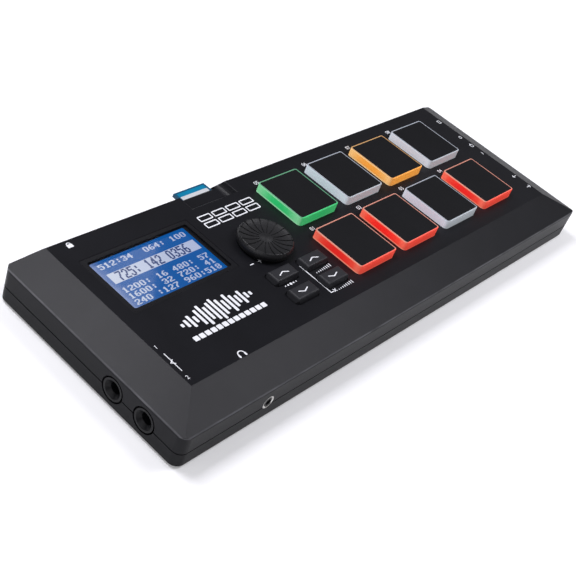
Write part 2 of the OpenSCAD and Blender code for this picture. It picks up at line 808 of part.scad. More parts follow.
// Outline of the knob: foot, bulging side, rounded rim, dish and a small dome in the middle
dish_out = knob_r - knob_bulge - dish_rim;
function side_r(z) = let (mid = (knob_z + knob_top) / 2, half = (knob_top - knob_z) / 2)
    knob_r - knob_bulge * pow((z - mid) / half, 2);
function dish_z(r) = let (u = (r - dome_r) / (dish_out - dome_r))
    knob_top - dome_drop * (1 - u) - 4 * (dish_depth - dome_drop / 2) * u * (1 - u);
function knob_section() =
    let (foot = side_r(knob_z), high = knob_top - rim_r, steps = 8)
    let (side = [for (k = [0:steps]) let (z = knob_z + (high - knob_z) * k / steps) [side_r(z), z]])
    let (rim = [side_r(knob_top), knob_top], edge = side[steps])
    let (inner = [foot - knob_skin, knob_z + knob_skin])
    concat([[0, inner[1]], inner, [inner[0], knob_z]], side,
           round_corner(edge, rim, [dish_out, knob_top], rim_r),
           [for (k = [steps:-1:0]) let (r = dome_r + (dish_out - dome_r) * k / steps) [r, dish_z(r)]],
           [[dome_r / 2, knob_top - dome_drop / 2], [0, knob_top - dome_drop / 2]]);

// Wedges over a lowered copy of the dish: they cut grooves of even depth out through the rim
function groove_floor() =
    let (deep = knob_top - groove_depth, out = knob_r + cut)
    concat([[0, knob_z], [out, knob_z], [out, deep]],
           [for (k = [groove_steps:-1:0]) let (r = groove_in + (dish_out - groove_in) * k / groove_steps)
               [r, dish_z(r) - groove_depth]],
           [[0, dish_z(groove_in) - groove_depth]]);

module grooves() {
    out = knob_r + cut / 2;
    low = knob_top - dish_depth - 2 * groove_depth;
    difference() {
        for (k = [0:groove_count - 1]) rotate(k * 360 / groove_count)
            translate([0, 0, low]) linear_extrude(knob_top - low + cut)
                polygon([[groove_in, -groove_in_w / 2], [out, -groove_w / 2],
                         [out, groove_w / 2], [groove_in, groove_in_w / 2]]);
        rotate_extrude() polygon(groove_floor());
    }
}

module data_knob() {
    color("#222326") in_case() translate([knob_x, knob_y, 0]) difference() {
        union() {
            rotate_extrude() polygon(knob_section());
            translate([0, 0, knob_z]) cylinder(r = hub_r, h = knob_skin + cut);
        }
        difference() {
            translate([0, 0, knob_z - cut])
                cylinder(r = shaft_r + fix_gap / 2, h = shaft_top + fix_gap - knob_z + cut);
            translate([shaft_r - shaft_flat + fix_gap / 2, -knob_r, bushing_top + run_gap])
                cube([knob_r, 2 * knob_r, knob_top]);
        }
        translate([0, 0, knob_z - cut])
            cylinder(r = bushing_r + run_gap, h = bushing_top + run_gap - knob_z + cut);
        grooves();
    }
}

module encoder_shaft() {
    color("#b9bcc2") in_case() translate([knob_x, knob_y, 0]) difference() {
        translate([0, 0, board_top + encoder_h / 2])
            cylinder(r = shaft_r, h = shaft_top - board_top - encoder_h / 2);
        translate([shaft_r - shaft_flat, -knob_r, bushing_top + run_gap])
            cube([knob_r, 2 * knob_r, knob_top]);
    }
}

module encoder_body() {
    color("#8c9096") in_case() translate([knob_x, knob_y, 0]) difference() {
        union() {
            translate([-encoder_w / 2, -encoder_w / 2, board_top]) cube([encoder_w, encoder_w, encoder_h]);
            translate([0, 0, board_top]) cylinder(r = bushing_r, h = bushing_top - board_top);
        }
        translate([0, 0, board_top + encoder_h / 2 - run_gap])
            cylinder(r = shaft_r + run_gap, h = knob_top);
    }
}

// Key cap with a flange under the top shell and a stem over its switch
module key(col, row) {
    color("#2b2c2f") in_case() translate([key_spot(col, row)[0], key_spot(col, row)[1], 0]) {
        translate([0, 0, case_h]) key_form(key_w, key_d, key_proud, key_taper, key_r, key_edge_r);
        translate([0, 0, key_flange_z]) mid_block(key_w, key_d, case_h - key_flange_z, key_r);
        translate([0, 0, key_flange_z])
            mid_block(key_w + 2 * key_flange, key_d + 2 * key_flange, key_flange_t, key_r + key_flange);
        translate([0, 0, switch_top + plunger_proud])
            cylinder(r = key_stem_r, h = case_h - switch_top - plunger_proud);
    }
}

// Plunger of a key's switch, standing in a blind hole of the switch body
module plunger(col, row) {
    low = switch_top + plunger_proud - plunger_len;
    color("#3a3a3c") in_case() translate([key_spot(col, row)[0], key_spot(col, row)[1], low])
        cylinder(r = plunger_r, h = plunger_len);
}

module select_up_key() { key(0, 1); }
module select_down_key() { key(0, 0); }
module volume_up_key() { key(1, 1); }
module volume_down_key() { key(1, 0); }
module select_up_plunger() { plunger(0, 1); }
module select_down_plunger() { plunger(0, 0); }
module volume_up_plunger() { plunger(1, 1); }
module volume_down_plunger() { plunger(1, 0); }

module key_switches() {
    hole_z = switch_top + plunger_proud - plunger_len - key_travel - run_gap;
    color("#6c7076") in_case() for (col = [0, 1]) for (row = [0, 1])
        translate([key_spot(col, row)[0], key_spot(col, row)[1], 0]) difference() {
            translate([-switch_w / 2, -switch_w / 2, board_top]) cube([switch_w, switch_w, switch_h]);
            translate([0, 0, hole_z]) cylinder(r = plunger_r + run_gap, h = case_h);
        }
}

// Quarter-inch socket along +x from the left wall: barrel, body and a bore with a lead-in
module output_jack(i) {
    color("#3c3d40") in_case() translate([0, output_y + i * output_pitch, output_z]) difference() {
        union() {
            translate([fix_gap, 0, 0]) rotate([0, 90, 0]) cylinder(r = output_nose_r, h = lip_back);
            translate([lip_back, -output_w / 2, output_low - output_z])
                cube([output_len, output_w, output_top - output_low]);
        }
        rotate([0, 90, 0]) cylinder(r = output_r, h = output_depth);
        translate([fix_gap, 0, 0]) rotate([0, 90, 0])
            cylinder(r1 = output_mouth_r, r2 = output_r, h = output_mouth);
    }
}

module output_jack_left() { output_jack(1); }
module output_jack_right() { output_jack(0); }

module headphone_jack() {
    color("#1c1d1f") in_case() translate([phones_x, 0, phones_z]) difference() {
        union() {
            translate([0, phones_y + fix_gap, 0]) rotate([90, 0, 0])
                cylinder(r = phones_nose_r, h = phones_y - fix_gap);
            translate([-phones_body[0] / 2, phones_y, -phones_body[2] / 2]) cube(phones_body);
        }
        translate([0, mini_depth, 0]) rotate([90, 0, 0]) cylinder(r = mini_r, h = mini_depth + cut);
    }
}

// Bright ring round the headphone socket
module headphone_ring() {
    bore = phones_nose_r + fix_gap;
    color("#d9dbe0") in_case() translate([phones_x, wall, phones_z]) rotate([90, 0, 0]) difference() {
        cylinder(r = ring_r, h = wall - fix_gap);
        translate([0, 0, -cut]) cylinder(r = bore, h = wall + 2 * cut);
        translate([0, 0, wall - fix_gap - ring_mouth])
            cylinder(r1 = bore, r2 = bore + ring_mouth, h = ring_mouth);
    }
}

// Square data socket with its tongue
module usb_socket() {
    back = case_l - fix_gap - data_body[0];
    color("#c4c7cc") in_case() translate([0, data_y, data_z]) {
        difference() {
            translate([back, -data_body[1] / 2, -data_body[2] / 2]) cube(data_body);
            translate([case_l - data_depth, -data_mouth[0] / 2, -data_mouth[1] / 2])
                cube([data_depth + cut, data_mouth[0], data_mouth[1]]);
        }
        translate([case_l - data_depth - cut, -data_tongue[0] / 2, -data_tongue[1] / 2])
            cube([data_depth - cut, data_tongue[0], data_tongue[1]]);
    }
}

// Small music socket, its bore along -x from the right wall
module music_jack(i) {
    color("#1c1d1f") in_case() translate([case_l, music_y + i * music_pitch, music_z]) difference() {
        union() {
            translate([-fix_gap, 0, 0]) rotate([0, -90, 0]) cylinder(r = music_nose_r, h = lip_back);
            translate([-lip_back - music_body[0], -music_body[1] / 2, -music_body[2] / 2]) cube(music_body);
        }
        translate([cut, 0, 0]) rotate([0, -90, 0]) cylinder(r = mini_r, h = mini_depth + cut);
    }
}

module midi_in_jack() { music_jack(1); }
module midi_out_jack() { music_jack(0); }

// Front of the slide switch: at the main board's edge, behind the locating lip
function power_face() = case_l - max(lip_back + run_gap, board_edge(side_run));

// Slide switch: a metal can with a slot that its slider runs in
module power_switch() {
    slot = power_stem + power_travel + 2 * run_gap;
    color("#a9adb3") in_case() translate([power_face(), power_y, power_z]) difference() {
        translate([-power_body[0], -power_body[1] / 2, -power_body[2] / 2]) cube(power_body);
        translate([-power_body[0] / 2, -slot / 2, -power_stem / 2 - run_gap])
            cube([power_body[0], slot, power_stem + 2 * run_gap]);
    }
}

// Slider at its first end; it runs towards the front wall
module power_slider() {
    stem_x = power_face() - power_body[0] / 2 + run_gap;
    tab_x = case_l - wall;
    color("#2a2b2d") in_case() translate([0, power_y + power_travel / 2, power_z]) {
        translate([stem_x, -power_stem / 2, -power_stem / 2])
            cube([tab_x + wall / 2 - stem_x, power_stem, power_stem]);
        translate([tab_x, -power_tab[0] / 2, -power_tab[1] / 2])
            cube([wall - power_inset, power_tab[0], power_tab[1]]);
    }
}

// Metal socket that the memory card slides into
module card_socket() {
    w = card_w + 2 * card_gap;
    color("#b4b8bd") in_case() difference() {
        translate([card_x - w / 2 - socket_side, socket_y0, board_top])
            cube([w + 2 * socket_side, socket_y1 - fix_gap - socket_y0, socket_floor + card_t + card_gap]);
        translate([card_x - w / 2, card_y0 - run_gap, card_z - card_gap])
            cube([w, card_len, card_t + 2 * card_gap + cut]);
        translate([card_x - w / 2, socket_y0 - cut, card_top]) cube([w, card_len, card_t]);
    }
}

// Memory card with its cut corner
module memory_card() {
    half = card_w / 2;
    color("#2a9fc4") in_case() translate([card_x, card_y0, card_z]) linear_extrude(card_t)
        polygon([[-half, 0], [half - chamfer, 0], [half, chamfer], [half, card_len], [-half, card_len]]);
}

// Steel plate behind the lock slot
module lock_plate() {
    color("#9ea2a8") in_case() difference() {
        translate([lock_x, case_d - wall - lock_plate_size[2], lock_z])
            translate([-lock_plate_size[0] / 2, 0, -lock_plate_size[1] / 2])
                cube([lock_plate_size[0], lock_plate_size[2], lock_plate_size[1]]);
        lock_hole(case_d - wall - lock_plate_size[2] - cut, case_d);
    }
}

module feet() {
    color("#141415") in_case() for (p = foot_spots)
        translate([p[0], p[1], -foot_h]) cylinder(r = foot_r, h = foot_h + foot_sink);
}

// Screws from below, through the posts and the main board into the top shell
module case_screws() {
    tip = board_top + screw_bite;
    color("#85898f") in_case() for (p = boss_spots) translate([p[0], p[1], 0]) {
        translate([0, 0, head_z - head_t]) cylinder(r = screw_head_r, h = head_t);
        translate([0, 0, head_z - cut]) cylinder(r = screw_r, h = tip - head_z + cut);
    }
}

module headphone_screws() {
    color("#85898f") in_case() for (p = daughter_spots) translate([p[0], p[1], 0]) {
        translate([0, 0, daughter_top]) cylinder(r = daughter_screw_head, h = daughter_head_t);
        translate([0, 0, wall + daughter_screw_in]) cylinder(r = daughter_screw_r, h = daughter_top - wall);
    }
}

top_shell();
bottom_shell();
display_lens();
display_glass();
display_frame();
main_board();
chips();
headphone_board();
board_link();
pad_1();
pad_2();
pad_3();
pad_4();
pad_5();
pad_6();
pad_7();
pad_8();
pad_face_1();
pad_face_2();
pad_face_3();
pad_face_4();
pad_face_5();
pad_face_6();
pad_face_7();
pad_face_8();
pad_sensors();
pad_lights();
data_knob();
encoder_shaft();
encoder_body();
select_up_key();
select_down_key();
volume_up_key();
volume_down_key();
select_up_plunger();
select_down_plunger();
volume_up_plunger();
volume_down_plunger();
key_switches();
output_jack_left();
output_jack_right();
headphone_jack();
headphone_ring();
usb_socket();
midi_in_jack();
midi_out_jack();
power_switch();
power_slider();
card_socket();
memory_card();
lock_plate();
feet();
case_screws();
headphone_screws();
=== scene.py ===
import itertools
import math

import bpy
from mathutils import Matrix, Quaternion, Vector


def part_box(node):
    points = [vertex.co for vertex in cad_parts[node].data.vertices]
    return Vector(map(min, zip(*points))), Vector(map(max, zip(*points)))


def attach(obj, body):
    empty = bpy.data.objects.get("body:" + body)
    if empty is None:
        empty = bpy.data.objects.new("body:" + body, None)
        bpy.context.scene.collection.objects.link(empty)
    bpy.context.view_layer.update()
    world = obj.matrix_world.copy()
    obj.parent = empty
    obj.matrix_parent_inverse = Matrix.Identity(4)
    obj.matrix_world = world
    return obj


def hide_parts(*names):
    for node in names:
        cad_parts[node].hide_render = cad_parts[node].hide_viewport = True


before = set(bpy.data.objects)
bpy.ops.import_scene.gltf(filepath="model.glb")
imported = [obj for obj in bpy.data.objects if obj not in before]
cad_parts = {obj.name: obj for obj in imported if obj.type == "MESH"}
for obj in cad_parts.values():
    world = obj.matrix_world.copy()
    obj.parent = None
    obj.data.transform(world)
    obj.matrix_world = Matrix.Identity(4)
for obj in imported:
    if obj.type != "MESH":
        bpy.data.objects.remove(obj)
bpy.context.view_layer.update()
scene = bpy.context.scene
scene.view_settings.view_transform = "Standard"

mm = 0.001
slack = 1e-6  # m, for picking edges and faces by their height
flatEnough = 0.9  # least z of a normal that faces up or down
shellLow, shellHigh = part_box("top_shell")
panelTop = shellHigh[2]


# mm from the left wall, from the front wall and above the flat top
def onCase(x, y, up=0.0):
    return Vector((shellLow[0] + x * mm, shellLow[1] + y * mm, panelTop + up * mm))


# a corner in m as the same mm
def toCase(corner):
    start = (shellLow[0], shellLow[1], panelTop)
    return [(place - zero) / mm for place, zero in zip(corner, start)]


def middleOf(low, high):
    return (low[0] + high[0]) / 2, (low[1] + high[1]) / 2


def sizeOf(low, high):
    return high[0] - low[0], high[1] - low[1]


def deselectAll():
    if bpy.context.mode != "OBJECT":
        bpy.ops.object.mode_set(mode="OBJECT")
    bpy.ops.object.select_all(action="DESELECT")


def pickOnly(piece):
    deselectAll()
    piece.select_set(True)
    bpy.context.view_layer.objects.active = piece


# leaves the piece at the origin, with its place in its mesh
def settle(piece):
    pickOnly(piece)
    bpy.ops.object.transform_apply(location=True, rotation=True, scale=True)


def joinAll(name, pieces):
    deselectAll()
    for piece in pieces:
        piece.select_set(True)
    bpy.context.view_layer.objects.active = pieces[0]
    bpy.ops.object.join()
    joined = bpy.context.view_layer.objects.active
    joined.name = name
    return joined


def wear(piece, material):
    piece.data.materials.clear()
    piece.data.materials.append(material)


# picks the edges or faces that the tests name, and goes into edit mode
def editParts(piece, edges=None, faces=None):
    pickOnly(piece)
    mesh = piece.data
    for group in (mesh.vertices, mesh.edges, mesh.polygons):
        group.foreach_set("select", [False] * len(group))
    if edges:
        for edge in mesh.edges:
            edge.select = edges(*[mesh.vertices[i].co for i in edge.vertices])
    if faces:
        for face in mesh.polygons:
            face.select = faces(face.center, face.normal)
    bpy.context.tool_settings.mesh_select_mode = (False, bool(edges), not edges)
    bpy.ops.object.mode_set(mode="EDIT")


def objectMode():
    bpy.ops.object.mode_set(mode="OBJECT")


def applyModifier(piece, kind, **values):
    pickOnly(piece)
    modifier = piece.modifiers.new("work", kind)
    for key, value in values.items():
        setattr(modifier, key, value)
    bpy.ops.object.modifier_apply(modifier=modifier.name)


# takes the cutter out of the piece, and then away
def carve(piece, cutter):
    applyModifier(piece, "BOOLEAN", operation="DIFFERENCE", object=cutter, solver="EXACT")
    bpy.data.objects.remove(cutter)


# copies of a piece at places on the case, joined; the first one goes
def repeatPiece(name, piece, places):
    twins = []
    for x, y in places:
        twin = piece.copy()
        twin.data = piece.data.copy()
        bpy.context.collection.objects.link(twin)
        twin.location = (shellLow[0] + x * mm, shellLow[1] + y * mm, 0)
        twins.append(twin)
    bpy.data.objects.remove(piece)
    joined = joinAll(name, twins)
    settle(joined)
    return joined


# sockets are named with _ in place of a space
def newFinish(name, **sockets):
    finish = bpy.data.materials.new(name)
    finish.use_nodes = True
    tree = finish.node_tree
    shader = tree.nodes["Principled BSDF"]
    for socket, value in sockets.items():
        shader.inputs[socket.replace("_", " ")].default_value = value
    coords = tree.nodes.new("ShaderNodeTexCoord")
    return finish, tree, shader, coords.outputs["Object"]


def addNoise(tree, coords, scale, detail=2.0, roughness=0.5):
    noise = tree.nodes.new("ShaderNodeTexNoise")
    noise.inputs["Scale"].default_value = scale
    noise.inputs["Detail"].default_value = detail
    noise.inputs["Roughness"].default_value = roughness
    tree.links.new(coords, noise.inputs["Vector"])
    return noise.outputs["Fac"]


def addRamp(tree, factor, stops):
    ramp = tree.nodes.new("ShaderNodeValToRGB")
    while len(ramp.color_ramp.elements) < len(stops):
        ramp.color_ramp.elements.new(0.5)
    for element, (place, colour) in zip(ramp.color_ramp.elements, stops):
        element.position = place
        element.color = (*colour, 1.0)
    tree.links.new(factor, ramp.inputs["Fac"])
    return ramp.outputs["Color"]


def addRange(tree, value, low, high, toLow, toHigh, smooth=False):
    spread = tree.nodes.new("ShaderNodeMapRange")
    spread.interpolation_type = "SMOOTHSTEP" if smooth else "LINEAR"
    spread.inputs["From Min"].default_value = low
    spread.inputs["From Max"].default_value = high
    spread.inputs["To Min"].default_value = toLow
    spread.inputs["To Max"].default_value = toHigh
    tree.links.new(value, spread.inputs["Value"])
    return spread.outputs["Result"]


def addMath(tree, operation, first, second):
    step = tree.nodes.new("ShaderNodeMath")
    step.operation = operation
    for socket, value in zip(step.inputs, (first, second)):
        if isinstance(value, (int, float)):
            socket.default_value = value
        else:
            tree.links.new(value, socket)
    return step.outputs["Value"]


def addSplit(tree, coords):
    split = tree.nodes.new("ShaderNodeSeparateXYZ")
    tree.links.new(coords, split.inputs["Vector"])
    return split.outputs


# distance from a point
def addReach(tree, coords, centre):
    reach = tree.nodes.new("ShaderNodeVectorMath")
    reach.operation = "DISTANCE"
    reach.inputs[1].default_value = centre
    tree.links.new(coords, reach.inputs[0])
    return reach.outputs["Value"]


def addMix(tree, factor, under, over):
    mix = tree.nodes.new("ShaderNodeMix")
    mix.data_type = "RGBA"
    tree.links.new(factor, mix.inputs["Factor"])
    tree.links.new(under, mix.inputs["A"])
    mix.inputs["B"].default_value = (*over, 1.0)
    return mix.outputs["Result"]


def addBump(tree, shader, height, strength, distance):
    bump = tree.nodes.new("ShaderNodeBump")
    bump.inputs["Strength"].default_value = strength
    bump.inputs["Distance"].default_value = distance
    tree.links.new(height, bump.inputs["Height"])
    tree.links.new(bump.outputs["Normal"], shader.inputs["Normal"])


def shade(colour, factor):
    return tuple(min(1.0, c * factor) for c in colour)


calm = (0.3, 0.7)  # most of a noise's values lie between these
mouldSet = dict(cloud=45, swing=(-0.05, 0.06), deep=0.00008)  # noise scale, steps of gloss, m


# moulded plastic or rubber: faint cloudy colour, fine spark grain and uneven gloss
def mouldedFinish(name, colour, gloss, grain=2600, bump=0.25, specular=0.4, cloud=0.12):
    finish, tree, shader, coords = newFinish(name, Specular_IOR_Level=specular)
    clouds = addNoise(tree, coords, mouldSet["cloud"], 3)
    shades = [shade(colour, 1 - cloud), shade(colour, 1 + cloud)]
    tree.links.new(addRamp(tree, clouds, list(zip(calm, shades))), shader.inputs["Base Color"])
    sparks = addNoise(tree, coords, grain, 3, 0.6)
    swing = [gloss + step for step in mouldSet["swing"]]
    tree.links.new(addRange(tree, sparks, *calm, *swing), shader.inputs["Roughness"])
    addBump(tree, shader, sparks, bump, mouldSet["deep"])
    return finish


# a painted highlight: a paler line along the crease, broken into patches by noise
creaseHighlightSet = dict(
    below=7.5, half=0.42, core=0.3,  # mm under the flat top, mm, share of the line that is fully pale
    colour=(0.11, 0.11, 0.118), patchScale=70, patches=(0.3, 0.6, 0.45, 1.0),
)


# a painted highlight along the crease, paler and broken into patches, at one height all round
def paintCreaseHighlight(finish):
    tree = finish.node_tree
    shader = tree.nodes["Principled BSDF"]
    plain = shader.inputs["Base Color"].links[0].from_socket
    coords = tree.nodes.new("ShaderNodeTexCoord").outputs["Object"]
    height, half = panelTop - creaseHighlightSet["below"] * mm, creaseHighlightSet["half"] * mm
    above = addMath(tree, "SUBTRACT", addSplit(tree, coords)["Z"], height)
    off = addMath(tree, "ABSOLUTE", above, 0.0)
    line = addRange(tree, off, half * creaseHighlightSet["core"], half, 1.0, 0.0, True)
    patches = addRange(tree, addNoise(tree, coords, creaseHighlightSet["patchScale"], 4), *creaseHighlightSet["patches"])
    tint = addMix(tree, addMath(tree, "MULTIPLY", line, patches), plain, creaseHighlightSet["colour"])
    tree.links.new(tint, shader.inputs["Base Color"])


brushSet = dict(
    stretch=(300, 4000, 4000), shades=((0.25, 0.82), (0.75, 1.08)), spread=(0.2, 0.8), swing=(-0.06, 0.1),
)


def brushedFinish(name, colour, gloss):
    finish, tree, shader, coords = newFinish(name, Metallic=1.0)
    stretch = tree.nodes.new("ShaderNodeMapping")
    stretch.inputs["Scale"].default_value = brushSet["stretch"]
    tree.links.new(coords, stretch.inputs["Vector"])
    lines = addNoise(tree, stretch.outputs["Vector"], 1.0, 3)
    stops = [(place, shade(colour, factor)) for place, factor in brushSet["shades"]]
    tree.links.new(addRamp(tree, lines, stops), shader.inputs["Base Color"])
    swing = [gloss + step for step in brushSet["swing"]]
    tree.links.new(addRange(tree, lines, *brushSet["spread"], *swing), shader.inputs["Roughness"])
    return finish


# colour, gloss, grain, bump, specular and cloud
finishes = dict(
    shell=mouldedFinish("blackShell", (0.0072, 0.0073, 0.0094), 0.4, bump=0.08, specular=0.15),
    baseShell=mouldedFinish("blackBase", (0.0078, 0.008, 0.0096), 0.44, bump=0.12, specular=0.15),
    padFace=mouldedFinish("padRubber", (0.0036, 0.0037, 0.005), 0.62, 3600, 0.2, 0.18),
    key=mouldedFinish("keyRubber", (0.0175, 0.0178, 0.0212), 0.5, 3000, 0.15, 0.3),
    knob=mouldedFinish("knobSatin", (0.0095, 0.0096, 0.011), 0.42, 3000, 0.12, 0.4),
    socket=mouldedFinish("socketBlack", (0.0055, 0.0055, 0.0068), 0.4, 2000, 0.06, 0.22),
    foot=mouldedFinish("footRubber", (0.012, 0.012, 0.012), 0.75, 1500, 0.3, 0.2),
    carrier=mouldedFinish("carrierWhite", (0.7, 0.71, 0.73), 0.5),
    board=mouldedFinish("boardGreen", (0.02, 0.16, 0.08), 0.35, 900, 0.1),
    chip=mouldedFinish("chipBlack", (0.012, 0.012, 0.014), 0.5),
    sensor=mouldedFinish("sensorFilm", (0.55, 0.3, 0.05), 0.35),
    lamp=mouldedFinish("lampResin", (0.85, 0.85, 0.75), 0.25),
    steel=brushedFinish("brushedSteel", (0.55, 0.56, 0.58), 0.32),
    ring=brushedFinish("brightRing", (0.78, 0.77, 0.74), 0.16),
    ink=mouldedFinish("whiteInk", (0.8, 0.81, 0.84), 0.55, 1800, 0.08, 0.3, 0.04),
    mask=mouldedFinish("maskInk", (0.008, 0.0081, 0.01), 0.3, 1800, 0.04, 0.22),
    card=mouldedFinish("cardTeal", (0.004, 0.075, 0.15), 0.4, 2400, 0.1, 0.3),
    cardPaper=mouldedFinish("cardPaper", (0.53, 0.54, 0.56), 0.5, 1500, 0.1, 0.25, 0.04),
    cardStripe=mouldedFinish("cardStripe", (0.002, 0.17, 0.31), 0.5, 1500, 0.1, 0.1, 0.16),
)
# paints a highlight line along the shell's crease
paintCreaseHighlight(finishes["shell"])
print("finishes ready:", len(finishes))

nodeFinish = dict(
    top_shell="shell", bottom_shell="baseShell", display_frame="carrier",
    main_board="board", headphone_board="board", board_link="chip", chips="chip",
    pad_sensors="sensor", pad_lights="lamp", key_switches="chip",
    data_knob="knob", encoder_shaft="steel", encoder_body="steel",
    output_jack_left="socket", output_jack_right="socket", headphone_jack="socket",
    headphone_ring="ring", headphone_screws="steel", usb_socket="steel",
    midi_in_jack="socket", midi_out_jack="socket", power_switch="steel", power_slider="key",
    card_socket="steel", memory_card="card", lock_plate="steel",
)
keyNames = ["select_up", "select_down", "volume_up", "volume_down"]
for name in keyNames:
    nodeFinish[name + "_key"] = "key"
    nodeFinish[name + "_plunger"] = "chip"
for node, finish in nodeFinish.items():
    wear(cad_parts[node], finishes[finish])

# in each look, front is the front wall's colour, painted for the light and shade on that side
padSet = dict(
    order=["red", "red", "white", "red", "green", "white", "orange", "white"],
    # in each look, lip is the top lip's colour, painted darker as shade
    red=dict(deep=(0.88, 0.026, 0.021), mid=(0.92, 0.08, 0.048), edge=(0.92, 0.3, 0.2),
             lip=(0.5, 0.22, 0.17), front=(0.96, 0.08, 0.052)),
    green=dict(deep=(0.03, 0.55, 0.16), mid=(0.17, 0.66, 0.29), edge=(0.33, 0.72, 0.42),
               lip=(0.1, 0.27, 0.16), front=(0.03, 0.53, 0.155)),
    orange=dict(deep=(0.9, 0.35, 0.05), mid=(0.92, 0.47, 0.13), edge=(0.97, 0.66, 0.33),
                lip=(0.46, 0.26, 0.11), front=(0.92, 0.36, 0.05)),
    white=dict(deep=(0.545, 0.58, 0.665), mid=(0.575, 0.615, 0.7), edge=(0.62, 0.67, 0.75),
               lip=(0.28, 0.3, 0.34), front=(0.4, 0.43, 0.455)),
    stops=dict(deep=0.05, mid=0.45, edge=0.78, lip=1.0),  # level of each colour
    tall=5.2, band=0.8, lip=0.3, rim=0.75, bend=1.2,  # mm
    corner=(1.04, 1.42), footShare=0.2, lipShare=0.3,  # times half a pad, a band and a lip
    bandLevel=0.7, cornerLevel=0.5, lipShadeLevel=0.3, milkLevel=0.1, frontShadingLevel=0.85,
    milkScale=220, grain=3000, bump=0.12, deepBump=0.00005,  # last one in m
    sockets=dict(Roughness=0.55, Specular_IOR_Level=0.1, Subsurface_Weight=0.15,
                 Subsurface_Radius=(0.004, 0.003, 0.003), Subsurface_Scale=0.5, Emission_Strength=0.42),
)


# translucent silicone over lamps: deep colour in the middle of a wall, paler edges and corners,
# a lip on top painted darker as shade, and a front wall painted one even colour for its light and shade
def padFinish(name, look, centre, half, wall):
    finish, tree, shader, coords = newFinish(name, **padSet["sockets"])
    places = addSplit(tree, coords)
    top = panelTop + padSet["tall"] * mm
    band, lip = padSet["band"] * mm, padSet["lip"] * mm
    most = padSet["bandLevel"]
    rim = addRange(tree, places["Z"], top - band - lip, top - lip, 0.0, most, True)
    footTop = panelTop + band
    foot = addRange(tree, places["Z"], panelTop + band * padSet["footShare"], footTop, most, 0.0, True)
    ends = [half * share for share in padSet["corner"]]
    corner = addRange(tree, addReach(tree, coords, centre), *ends, 0.0, padSet["cornerLevel"], True)
    pale = addMath(tree, "MAXIMUM", addMath(tree, "MAXIMUM", rim, foot), corner)
    milk = addMath(tree, "MULTIPLY", addNoise(tree, coords, padSet["milkScale"], 3), padSet["milkLevel"])
    # the top lip is painted darker, as shade
    lipShadeTop = top - lip * padSet["lipShare"]
    lipShade = addRange(tree, places["Z"], top - lip, lipShadeTop, 0.0, padSet["lipShadeLevel"], True)
    level = addMath(tree, "ADD", addMath(tree, "ADD", pale, milk), lipShade)
    stops = [(place, look[key]) for key, place in padSet["stops"].items()]
    # the front wall is painted one even colour, for the light and shade on that side
    bend = wall + padSet["bend"] * mm
    front = addRange(tree, places["Y"], wall, bend, padSet["frontShadingLevel"], 0.0, True)
    tint = addMix(tree, front, addRamp(tree, level, stops), look["front"])
    tree.links.new(tint, shader.inputs["Base Color"])
    tree.links.new(tint, shader.inputs["Emission Color"])
    addBump(tree, shader, addNoise(tree, coords, padSet["grain"], 2), padSet["bump"], padSet["deepBump"])
    return finish


for number, colour in enumerate(padSet["order"], 1):
    low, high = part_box(f"pad_face_{number}")
    centre = (*middleOf(low, high), panelTop)
    wall = low[1] - padSet["rim"] * mm
    finish = padFinish(f"padSilicone{number}", padSet[colour], centre, (high[0] - low[0]) / 2, wall)
    wear(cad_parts[f"pad_{number}"], finish)
    wear(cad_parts[f"pad_face_{number}"], finishes["padFace"])
print("pads lit")

inkSet = dict(
    thick=0.04, barThick=0.044, barStep=0.004,  # mm
    barSteps=4, cornerSteps=4, sides=40,
    barRound=0.49, digitShare=0.7,  # of a bar's width, of a font's size
)


# a thin plate of ink or film: a plane with cut corners, opened to a frame if it has a border
def flatPlate(centre, size, corner=0.0, border=0.0, angle=0.0, up=0.0, thick=inkSet["thick"]):
    deselectAll()
    bpy.ops.mesh.primitive_plane_add(size=1, location=onCase(*centre, up), rotation=(0, 0, angle))
    plate = bpy.context.active_object
    plate.scale = (size[0] * mm, size[1] * mm, 1)
    settle(plate)
    bpy.ops.object.mode_set(mode="EDIT")
    bpy.ops.mesh.select_all(action="SELECT")
    if corner:
        bpy.ops.mesh.bevel(affect="VERTICES", offset=corner * mm, segments=inkSet["cornerSteps"])
    if border:
        objectMode()
        editParts(plate, faces=lambda middle, normal: True)
        bpy.ops.mesh.inset(thickness=border * mm)
        bpy.ops.mesh.delete(type="FACE")
    objectMode()
    applyModifier(plate, "SOLIDIFY", thickness=thick * mm, offset=1.0)
    return plate


barCount = itertools.count()


# bars take turns at four thicknesses, so that crossing bars have no faces in one plane
def flatBar(start, end, width, up=0.0):
    across, along = sizeOf(start, end)
    size = (math.hypot(across, along) + width, width)
    corner, angle = width * inkSet["barRound"], math.atan2(along, across)
    thick = inkSet["barThick"] + next(barCount) % inkSet["barSteps"] * inkSet["barStep"]
    return flatPlate(middleOf(start, end), size, corner, angle=angle, up=up, thick=thick)


def flatLine(points, width, up=0.0):
    return [flatBar(a, b, width, up) for a, b in zip(points, points[1:])]


# a ring of ink, or the part of it on one side of a cut through its middle
def flatRing(centre, radius, width, keep=None):
    deselectAll()
    place = onCase(*centre)
    bpy.ops.mesh.primitive_circle_add(
        vertices=inkSet["sides"], radius=(radius + width / 2) * mm, fill_type="NGON", location=place)
    ring = bpy.context.active_object
    settle(ring)
    editParts(ring, faces=lambda middle, normal: True)
    bpy.ops.mesh.inset(thickness=width * mm)
    bpy.ops.mesh.delete(type="FACE")
    if keep:
        bpy.ops.mesh.select_all(action="SELECT")
        bpy.ops.mesh.bisect(plane_co=place, plane_no=(keep[0], keep[1], 0), clear_inner=True)
    objectMode()
    applyModifier(ring, "SOLIDIFY", thickness=inkSet["thick"] * mm, offset=1.0)
    return ring


def flatNumber(number, centre, tall):
    deselectAll()
    bpy.ops.object.text_add(location=onCase(*centre))
    words = bpy.context.active_object
    words.data.body = number
    words.data.align_x = words.data.align_y = "CENTER"
    words.data.size = tall * mm / inkSet["digitShare"]
    words.data.extrude = inkSet["thick"] * mm / 2
    bpy.ops.object.convert(target="MESH")
    settle(words)
    return words


